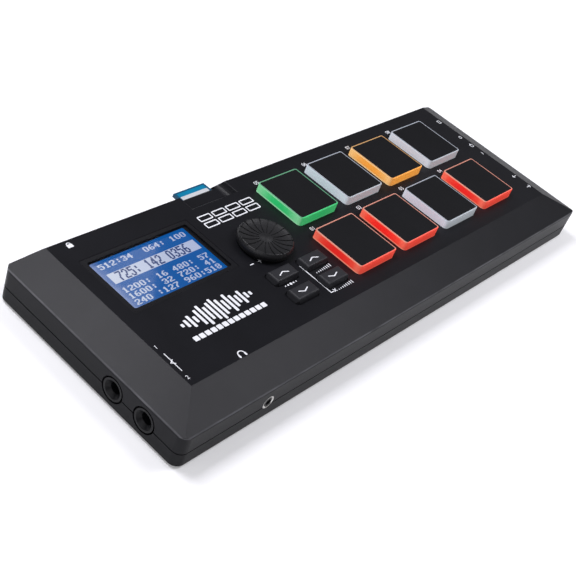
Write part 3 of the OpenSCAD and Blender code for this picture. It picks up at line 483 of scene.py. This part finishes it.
# mm; a sign is a list of strokes, each with its kind and the values of its function
printSet = dict(
    numberTall=2.7, numberShift=(-11.0, 22.0), padPitch=(43.3, 45.0), padFirst=(175.4, 47.7), padColumns=4,
    wave=[2.2, 5.0, 8.2, 4.4, 10.6, 14.0, 9.0, 12.4, 15.0, 11.0, 7.0, 12.8, 8.6, 5.6, 9.4, 4.0, 2.4],
    waveFirst=(43.2, 49.8), wavePitch=3.0, waveWide=1.7, waveRound=0.3,
    steps=13, stepFirst=(43.2, 40.0), stepPitch=4.0, stepSize=(3.2, 3.0), stepCorner=0.5,
    gridCells=(4, 2), gridFirst=(112.6, 99.6), gridPitch=(11.0, 5.6),
    gridSize=(9.6, 4.3), gridCorner=0.8, gridBorder=0.75,
    dots=[0.8, 1.1, 1.6, 1.1, 0.8], dotFirst=(112.6, 43.9), dotPitch=2.1, dotRound=0.45,
    levels=[(137.2, 43.6), (138.6, 28.3)], levelBars=8, levelPitch=1.7, levelWide=0.55,
    levelEnds=(-0.9, -0.7), levelRise=0.24,
    widths=dict(fine=0.46, line=0.6, tick=0.45, cup=1.1),
    edge=dict(
        headphones=[("ring", (55.5, 21.2), 2.0, 0.6, (0, 1)),
                    ("line", [(53.5, 20.0), (53.5, 21.0)], "cup"),
                    ("line", [(57.5, 20.0), (57.5, 21.0)], "cup")],
        lock=[("plate", (31.7, 119.9), (3.4, 2.4), 0.3), ("ring", (31.7, 121.1), 1.1, 0.5, (0, 1))],
        outputs=[("number", "1", (21.9, 45.6), 2.3), ("number", "2", (21.9, 23.9), 2.3),
                 ("line", [(22.4, 40.6), (22.4, 28.4)], "fine"),
                 ("line", [(23.2, 35.8), (21.2, 34.5), (23.2, 33.2)], "fine")],
        data=[("plate", (345.2, 107), (2.6, 3.2), 0.3, 0.45), ("ring", (345.2, 88), 1.1, 0.4)],
        power=[("ring", (345.2, 78), 1.4, 0.4), ("line", [(345.2, 78.4), (345.2, 80.0)], "tick"),
               ("line", [(345.2, 67.7), (345.2, 69.7)], "tick")],
        inward=[("line", [(343.4, 41.2), (347.0, 41.2)], "fine"),
                ("line", [(344.5, 42.3), (343.4, 41.2), (344.5, 40.1)], "fine")],
        outward=[("line", [(343.4, 29.4), (347.0, 29.4)], "fine"),
                 ("line", [(345.9, 30.5), (347.0, 29.4), (345.9, 28.3)], "fine")],
    ),
    control=dict(
        lessMore=[("line", [(107.4, 65.0), (109.6, 65.0)], "line"),
                  ("line", [(113.4, 65.0), (115.6, 65.0)], "line"),
                  ("line", [(114.5, 63.9), (114.5, 66.1)], "line")],
        cross=[("line", [(134.9, 29.2), (136.7, 27.4)], "fine"),
               ("line", [(134.9, 27.4), (136.7, 29.2)], "fine")],
        bracket=[("line", [(132.3, 51.3), (132.3, 28.0), (134.4, 28.0)], "line"),
                 ("line", [(132.3, 35.4), (133.6, 35.4)], "line")],
    ),
)


def padNumbers():
    first, pitch, shift = (printSet[key] for key in ("padFirst", "padPitch", "numberShift"))
    made = []
    for number in range(len(padSet["order"])):
        row, column = divmod(number, printSet["padColumns"])
        x = first[0] + column * pitch[0] + shift[0]
        y = first[1] + row * pitch[1] + shift[1]
        made.append(flatNumber(f"{number + 1:02d}", (x, y), printSet["numberTall"]))
    return made


def waveSign():
    x, y = printSet["waveFirst"]
    pitch, wide = printSet["wavePitch"], printSet["waveWide"]
    made = []
    for count, tall in enumerate(printSet["wave"]):
        made.append(flatPlate((x + count * pitch, y), (wide, tall), wide * printSet["waveRound"]))
    x, y = printSet["stepFirst"]
    size, corner = printSet["stepSize"], printSet["stepCorner"]
    for count in range(printSet["steps"]):
        made.append(flatPlate((x + count * printSet["stepPitch"], y), size, corner))
    return made


def gridSign():
    x, y = printSet["gridFirst"]
    across, along = printSet["gridPitch"]
    columns, rows = printSet["gridCells"]
    look = [printSet[key] for key in ("gridSize", "gridCorner", "gridBorder")]
    return [
        flatPlate((x + column * across, y + row * along), *look)
        for column in range(columns) for row in range(rows)
    ]


def dotSign():
    x, y = printSet["dotFirst"]
    made = []
    for count, wide in enumerate(printSet["dots"]):
        place = (x + count * printSet["dotPitch"], y)
        made.append(flatPlate(place, (wide, wide), wide * printSet["dotRound"]))
    return made


# bars that grow from left to right
def levelSign(x, y):
    low, high = printSet["levelEnds"]
    made = []
    for count in range(printSet["levelBars"]):
        across = x + count * printSet["levelPitch"]
        tip = y + high + count * printSet["levelRise"]
        made.append(flatBar((across, y + low), (across, tip), printSet["levelWide"]))
    return made


makers = dict(ring=flatRing, plate=flatPlate, number=flatNumber)


def drawSign(strokes):
    made = []
    for kind, *values in strokes:
        if kind == "line":
            points, width = values
            made += flatLine(points, printSet["widths"][width])
        else:
            made.append(makers[kind](*values))
    return made


def edgeSigns():
    return [piece for strokes in printSet["edge"].values() for piece in drawSign(strokes)]


def controlSigns():
    signs = printSet["control"]
    made = drawSign(signs["lessMore"]) + dotSign()
    for place in printSet["levels"]:
        made += levelSign(*place)
    return made + drawSign(signs["cross"]) + drawSign(signs["bracket"])


panelPrint = joinAll("panel_print", padNumbers() + waveSign() + gridSign() + edgeSigns() + controlSigns())
settle(panelPrint)
wear(panelPrint, finishes["ink"])
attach(panelPrint, "case")
print("panel print:", len(panelPrint.data.polygons), "faces")

arrowSet = dict(half=3.45, rise=0.75, stroke=0.62, shift=(-0.6, -0.3))  # mm


def keyArrow(name):
    low, high = (toCase(corner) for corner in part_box(name + "_key"))
    x, y = (place + shift for place, shift in zip(middleOf(low, high), arrowSet["shift"]))
    way = arrowSet["rise"] if name.endswith("up") else -arrowSet["rise"]
    points = [(x - arrowSet["half"], y - way), (x, y + way), (x + arrowSet["half"], y - way)]
    arrow = joinAll(name + "_arrow", flatLine(points, arrowSet["stroke"], high[2]))
    settle(arrow)
    wear(arrow, finishes["ink"])
    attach(arrow, name + "_body")


for name in keyNames:
    keyArrow(name)
print("key arrows drawn")

# mm; a digit's rows from the top, lit cells as 1
screenSet = dict(
    window=((31.9, 69.9), (96.3, 105.7)), thick=0.03,
    lines=[(102.3, "512:34  064: 100"), (84.0, "1200: 16 480: 57"), (79.3, "1600: 32 720: 41"),
           (74.6, "240 :127 960:518")],
    left=4.0, cell=(0.533, 0.51), cells=(7, 7), gap=0.02,
    band=((36.0, 89.4), (95.6, 96.8)), bandText="725: 142 0356", bandLeft=4.4, bandCell=(0.54, 0.96),
    bandUp=0.035,
    digits={
        "0": "011110 110011 110011 110011 110011 110011 011110",
        "1": "001100 011100 001100 001100 001100 001100 011110",
        "2": "011110 110011 000011 000110 011100 110000 111111",
        "3": "011110 110011 000011 001110 000011 110011 011110",
        "4": "000110 001110 011110 110110 111111 000110 000110",
        "5": "111111 110000 111110 000011 000011 110011 011110",
        "6": "001110 011000 110000 111110 110011 110011 011110",
        "7": "111111 000011 000110 001100 011000 011000 011000",
        "8": "011110 110011 110011 011110 110011 110011 011110",
        "9": "011110 110011 110011 011111 000011 000110 011100",
        ":": "000000 001100 001100 000000 001100 001100 000000",
    },
    # blue, pale and dark run from the left end of the window to the right; the paler left end is a painted
    # reflection
    blue=[(0.05, (0.28, 0.36, 0.64)), (0.1, (0.1, 0.19, 0.47)), (0.16, (0.008, 0.115, 0.42)),
          (0.5, (0.0005, 0.105, 0.41))],
    pale=[(0.0, (0.7, 0.76, 0.9)), (1.0, (0.5, 0.57, 0.82))],
    dark=[(0.0, (0.02, 0.05, 0.2)), (1.0, (0.01, 0.04, 0.18))],
    mottle=90, mottleLevel=0.1,
    sockets=dict(Roughness=0.07, Specular_IOR_Level=1.0, Base_Color=(0.004, 0.005, 0.008, 1),
                 Emission_Strength=1.0),
)


# one line of the display: a grid whose unlit cells are taken out
def screenLine(words, left, middle, cell, up):
    digits, (wide, tall) = screenSet["digits"], screenSet["cells"]
    columns = len(words) * wide
    size = (columns * cell[0], tall * cell[1])
    deselectAll()
    place = onCase(left + size[0] / 2, middle, up)
    bpy.ops.mesh.primitive_grid_add(x_subdivisions=columns, y_subdivisions=tall, size=1, location=place)
    line = bpy.context.active_object
    line.scale = (size[0] * mm, size[1] * mm, 1)
    settle(line)
    corner = onCase(left, middle + size[1] / 2)

    def unlit(centre, normal):
        column = int((centre.x - corner.x) / (cell[0] * mm))
        row = int((corner.y - centre.y) / (cell[1] * mm))
        dots = digits.get(words[column // wide])
        return not dots or column % wide == wide - 1 or dots.split()[row][column % wide] == "0"

    editParts(line, faces=unlit)
    bpy.ops.mesh.delete(type="FACE")
    bpy.ops.mesh.select_all(action="SELECT")
    bpy.ops.mesh.inset(thickness=screenSet["gap"] * mm, use_individual=True)
    bpy.ops.mesh.select_all(action="INVERT")
    bpy.ops.mesh.delete(type="FACE")
    objectMode()
    applyModifier(line, "SOLIDIFY", thickness=screenSet["thick"] * mm, offset=1.0)
    return line


# lit from behind, under smooth glass; paler towards the left end, which is a painted reflection
def litFinish(name, stops, low, high):
    finish, tree, shader, coords = newFinish(name, **screenSet["sockets"])
    along = addRange(tree, addSplit(tree, coords)["X"], low, high, 0.0, 1.0)
    spots = addNoise(tree, coords, screenSet["mottle"], 2)
    level = addMath(tree, "ADD", along, addMath(tree, "MULTIPLY", spots, screenSet["mottleLevel"]))
    tree.links.new(addRamp(tree, level, stops), shader.inputs["Emission Color"])
    return finish


def addScreen():
    low, high = screenSet["window"]
    ends = onCase(*low).x, onCase(*high).x
    wear(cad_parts["display_glass"], litFinish("litBlue", screenSet["blue"], *ends))
    glassTop = toCase(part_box("display_glass")[1])[2]
    bandLow, bandHigh = screenSet["band"]
    band = middleOf(bandLow, bandHigh)
    marks = [flatPlate(band, sizeOf(bandLow, bandHigh), up=glassTop, thick=screenSet["thick"])]
    left = low[0] + screenSet["left"]
    for middle, words in screenSet["lines"]:
        marks.append(screenLine(words, left, middle, screenSet["cell"], glassTop))
    marks = joinAll("display_marks", marks)
    settle(marks)
    wear(marks, litFinish("litPale", screenSet["pale"], *ends))
    left, up = bandLow[0] + screenSet["bandLeft"], glassTop + screenSet["bandUp"]
    cutOut = screenLine(screenSet["bandText"], left, band[1], screenSet["bandCell"], up)
    cutOut.name = "display_band_marks"
    settle(cutOut)
    wear(cutOut, litFinish("litDark", screenSet["dark"], *ends))
    for piece in (marks, cutOut):
        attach(piece, "case")


maskSet = dict(
    corner=1.0, opening=1.3, rim=2.6, lift=0.01, cutter=1.0,  # mm
    sockets=dict(Alpha=0.1, IOR=1.49, Base_Color=(0.01, 0.011, 0.014, 1)), wipe=60, gloss=(0.01, 0.035),
)


# a dark film with a rounded opening
def openFilm(middle, size, centre, opening, up):
    film = flatPlate(middle, size, maskSet["corner"], up=up)
    deep = maskSet["cutter"]
    carve(film, flatPlate(centre, opening, maskSet["opening"], up=up - deep / 2, thick=deep))
    return film


# clear lens, with a mask printed under it and a narrower rim on it
def addWindow():
    finish, tree, shader, coords = newFinish("clearWindow", **maskSet["sockets"])
    wipe = addNoise(tree, coords, maskSet["wipe"], 4)
    tree.links.new(addRange(tree, wipe, *calm, *maskSet["gloss"]), shader.inputs["Roughness"])
    wear(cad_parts["display_lens"], finish)
    low, high = (toCase(corner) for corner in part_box("display_lens"))
    middle, size, window = middleOf(low, high), sizeOf(low, high), screenSet["window"]
    mask = openFilm(middle, size, middleOf(*window), sizeOf(*window), low[2] + maskSet["lift"])
    rim = openFilm(middle, size, middle, [side - 2 * maskSet["rim"] for side in size], high[2])
    mask = joinAll("display_mask", [mask, rim])
    settle(mask)
    wear(mask, finishes["mask"])
    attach(mask, "case")


addScreen()
addWindow()
print("display lit")

cardSet = dict(edge=1.2, sideEdge=1.5, stripe=3.0, labelLong=24.0, corner=0.4)  # mm


def addCardLabel():
    low, high = (toCase(corner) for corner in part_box("memory_card"))
    back = high[1] - cardSet["edge"]
    middle, wide = (low[0] + high[0]) / 2, high[0] - low[0] - 2 * cardSet["sideEdge"]
    front = back - cardSet["stripe"]
    paperFront = back - cardSet["labelLong"]
    looks = (
        ("card_stripe", "cardStripe", front, back),
        ("card_label", "cardPaper", paperFront, front),
    )
    for name, finish, start, end in looks:
        piece = flatPlate((middle, (start + end) / 2), (wide, end - start), cardSet["corner"], up=high[2])
        piece.name = name
        settle(piece)
        wear(piece, finishes[finish])
        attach(piece, "memory_card_body")


addCardLabel()
print("card labelled")

screwSet = dict(
    places=[(37, 11.5), (151.6, 11.5), (240.35, 11.5), (331, 11.5),
            (64.6, 117.5), (151.6, 117.5), (240.35, 117.5), (331, 117.5)],
    head=2.8, headTall=2.0, shank=1.5, tip=1.0, dome=0.9, slotWide=0.8, slotLong=3.3, slotDeep=1.2,  # mm
    sides=40, domeSteps=5, tipTaper=0.55, slotTaper=0.7,
)
smoothAngle = math.radians(35)


# one arm of a cross recess, narrower at its end
def slotArm(across, along, bottom):
    deselectAll()
    scale = (across * mm, along * mm, screwSet["slotDeep"] * mm * 2)
    bpy.ops.mesh.primitive_cube_add(size=1, location=(0, 0, bottom), scale=scale)
    arm = bpy.context.active_object
    settle(arm)
    editParts(arm, faces=lambda middle, normal: normal.z > flatEnough)
    taper = screwSet["slotTaper"]
    bpy.ops.transform.resize(value=(taper, taper, 1))
    objectMode()
    return arm


# pan head pointing down, with a cross recess and a tapered tip
def addScrews():
    low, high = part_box("case_screws")
    head, tall, shank, tip = (screwSet[key] * mm for key in ("head", "headTall", "shank", "tip"))
    deselectAll()
    bpy.ops.mesh.primitive_cylinder_add(
        vertices=screwSet["sides"], radius=head, depth=tall, location=(0, 0, low[2] + tall / 2))
    screw = bpy.context.active_object
    settle(screw)
    bottom, top = low[2] + slack, low[2] + tall - slack
    editParts(screw, edges=lambda a, b: a.z < bottom and b.z < bottom)
    bpy.ops.mesh.bevel(offset=screwSet["dome"] * mm, segments=screwSet["domeSteps"], profile=0.5)
    objectMode()
    editParts(screw, faces=lambda middle, normal: normal.z > flatEnough and middle.z > top)
    bpy.ops.mesh.inset(thickness=head - shank)
    stem = high[2] - low[2] - tall - tip
    for length in (stem, tip):
        bpy.ops.mesh.extrude_region_move(TRANSFORM_OT_translate={"value": (0, 0, length)})
    taper = screwSet["tipTaper"]
    bpy.ops.transform.resize(value=(taper, taper, 1))
    objectMode()
    wide, long = screwSet["slotWide"], screwSet["slotLong"]
    for size in ((long, wide), (wide, long)):
        carve(screw, slotArm(*size, low[2]))
    screws = repeatPiece("case_screws_crossed", screw, screwSet["places"])
    bpy.ops.object.shade_smooth_by_angle(angle=smoothAngle)
    wear(screws, finishes["steel"])
    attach(screws, "case")
    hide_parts("case_screws")


footSet = dict(
    places=[(19, 16), (349, 16), (19, 113), (349, 113)],
    radius=6.0, round=0.7, rim=1.8, dish=0.35, dishEdge=0.5,  # mm
    sides=64, roundSteps=5,
)


# round rubber foot with a rounded rim and a shallow dish
def addFeet():
    low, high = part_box("feet")
    deselectAll()
    bpy.ops.mesh.primitive_cylinder_add(
        vertices=footSet["sides"], radius=footSet["radius"] * mm, depth=high[2] - low[2],
        location=(0, 0, (low[2] + high[2]) / 2))
    foot = bpy.context.active_object
    settle(foot)
    bottom = low[2] + slack
    editParts(foot, edges=lambda a, b: a.z < bottom and b.z < bottom)
    bpy.ops.mesh.bevel(offset=footSet["round"] * mm, segments=footSet["roundSteps"], profile=0.5)
    objectMode()
    editParts(foot, faces=lambda centre, normal: normal.z < -flatEnough and centre.z < bottom)
    bpy.ops.mesh.inset(thickness=footSet["rim"] * mm)
    bpy.ops.mesh.inset(thickness=footSet["dishEdge"] * mm, depth=-footSet["dish"] * mm)
    objectMode()
    feet = repeatPiece("feet_dished", foot, footSet["places"])
    bpy.ops.object.shade_smooth_by_angle(angle=smoothAngle)
    wear(feet, finishes["foot"])
    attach(feet, "case")
    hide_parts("feet")


addScrews()
addFeet()
print("screws and feet made")

cameraSet = dict(
    place=(-0.46523, -0.23529, 0.37412), ahead=(0.69670, 0.37280, -0.61289), roll=22.28,  # m, degrees
    lens=68.616, sensor=36, nearest=0.01,  # mm, mm, m
)


def addCamera():
    deselectAll()
    bpy.ops.object.camera_add(location=cameraSet["place"])
    camera = bpy.context.active_object
    camera.rotation_mode = "QUATERNION"
    turn = Vector(cameraSet["ahead"]).to_track_quat("-Z", "Y")
    camera.rotation_quaternion = turn @ Quaternion((0, 0, 1), math.radians(cameraSet["roll"]))
    camera.data.sensor_width = cameraSet["sensor"]
    camera.data.lens = cameraSet["lens"]
    camera.data.clip_start = cameraSet["nearest"]
    scene.camera = camera


# softboxes, each facing the point it is aimed at; watts give a brightness of watts / (pi * area)
lightSet = dict(
    lamps=dict(
        left=dict(place=(-0.28, 0.55, 1.0), aim=(-0.28, 0.55, 0), size=(0.42, 0.55), turn=0, watts=11.0),
        over=dict(place=(-0.45, -0.4, 1.0), aim=(-0.45, -0.4, 0), size=(1.3, 1.0), turn=0, watts=0.8),
        front=dict(place=(0.62, -0.34, 1.0), aim=(0.62, -0.34, 0), size=(0.8, 0.3), turn=0, watts=8.5),
        window=dict(place=(0.734, 0.864, 1.0), aim=(0.734, 0.864, 0), size=(0.32, 0.32), turn=45, watts=0.31),
        right=dict(place=(2.15, 0.4, 1.0), aim=(2.15, 0.4, 0), size=(0.7, 1.3), turn=0, watts=1.6),
        low=dict(place=(-1.1, -0.1, 0.62), aim=(0, 0, 0.02), size=(1.3, 0.5), turn=0, watts=3.6),
    ),
    world=0.12, tint=(0.95, 0.945, 1.0),
)


def addLights():
    for name, light in lightSet["lamps"].items():
        deselectAll()
        bpy.ops.object.light_add(type="AREA", location=light["place"])
        lamp = bpy.context.active_object
        lamp.name = name + "Softbox"
        facing = (Vector(light["aim"]) - Vector(light["place"])).to_track_quat("-Z", "Y")
        lamp.rotation_mode = "QUATERNION"
        lamp.rotation_quaternion = facing @ Quaternion((0, 0, 1), math.radians(light["turn"]))
        lamp.data.shape = "RECTANGLE"
        lamp.data.size, lamp.data.size_y = light["size"]
        lamp.data.energy = light["watts"]
        lamp.data.color = lightSet["tint"]


# a dim sky that the camera sees white
def addSky():
    world = bpy.data.worlds.new("studio")
    scene.world = world
    world.use_nodes = True
    tree = world.node_tree
    sky = tree.nodes["Background"]
    sky.inputs["Color"].default_value = (1, 1, 1, 1)
    direct = tree.nodes.new("ShaderNodeLightPath").outputs["Is Camera Ray"]
    white = addMath(tree, "MULTIPLY", direct, 1.0 - lightSet["world"])
    tree.links.new(addMath(tree, "ADD", white, lightSet["world"]), sky.inputs["Strength"])


# lift is added light: in mirrors, and for the camera close to the object and beside it; it is smallest close
# to the object, which paints shade around it
floorSet = dict(
    size=12, reach=(0.15, 0.5, 3.0), mirrored=0.1, shadedLift=0.16, beside=0.36,  # m, m, then the lifts
    paper=30, tints=((0.86, 0.86, 0.865), (0.88, 0.88, 0.885)),
)


# pale paper that keeps the object's shadow, with painted shade added close to the object; the camera sees it
# white further off
def addFloor():
    deselectAll()
    bpy.ops.mesh.primitive_plane_add(size=floorSet["size"], location=(0, 0, 0))
    floor = bpy.context.active_object
    floor.name = "floor"
    finish, tree, shader, coords = newFinish(
        "paleFloor", Roughness=0.8, Specular_IOR_Level=0.1, Emission_Color=(1, 1, 1, 1))
    paper = addNoise(tree, coords, floorSet["paper"], 3)
    tint = addRamp(tree, paper, list(zip(calm, floorSet["tints"])))
    tree.links.new(tint, shader.inputs["Base Color"])
    rays = tree.nodes.new("ShaderNodeLightPath").outputs
    mirror = addMath(tree, "MAXIMUM", rays["Is Glossy Ray"], rays["Is Transmission Ray"])
    away = addReach(tree, coords, (0, 0, 0))
    first, second, third = floorSet["reach"]
    # less lift close to the object: painted shade around it
    lift = addRange(tree, away, first, second, floorSet["shadedLift"], floorSet["beside"], True)
    sweep = addRange(tree, away, second, third, 0.0, 1.0 - floorSet["beside"], True)
    direct = addMath(tree, "MULTIPLY", rays["Is Camera Ray"], addMath(tree, "ADD", lift, sweep))
    total = addMath(tree, "ADD", direct, addMath(tree, "MULTIPLY", mirror, floorSet["mirrored"]))
    tree.links.new(total, shader.inputs["Emission Strength"])
    wear(floor, finish)


addCamera()
addLights()
addSky()
addFloor()
print("camera, lights and floor set")
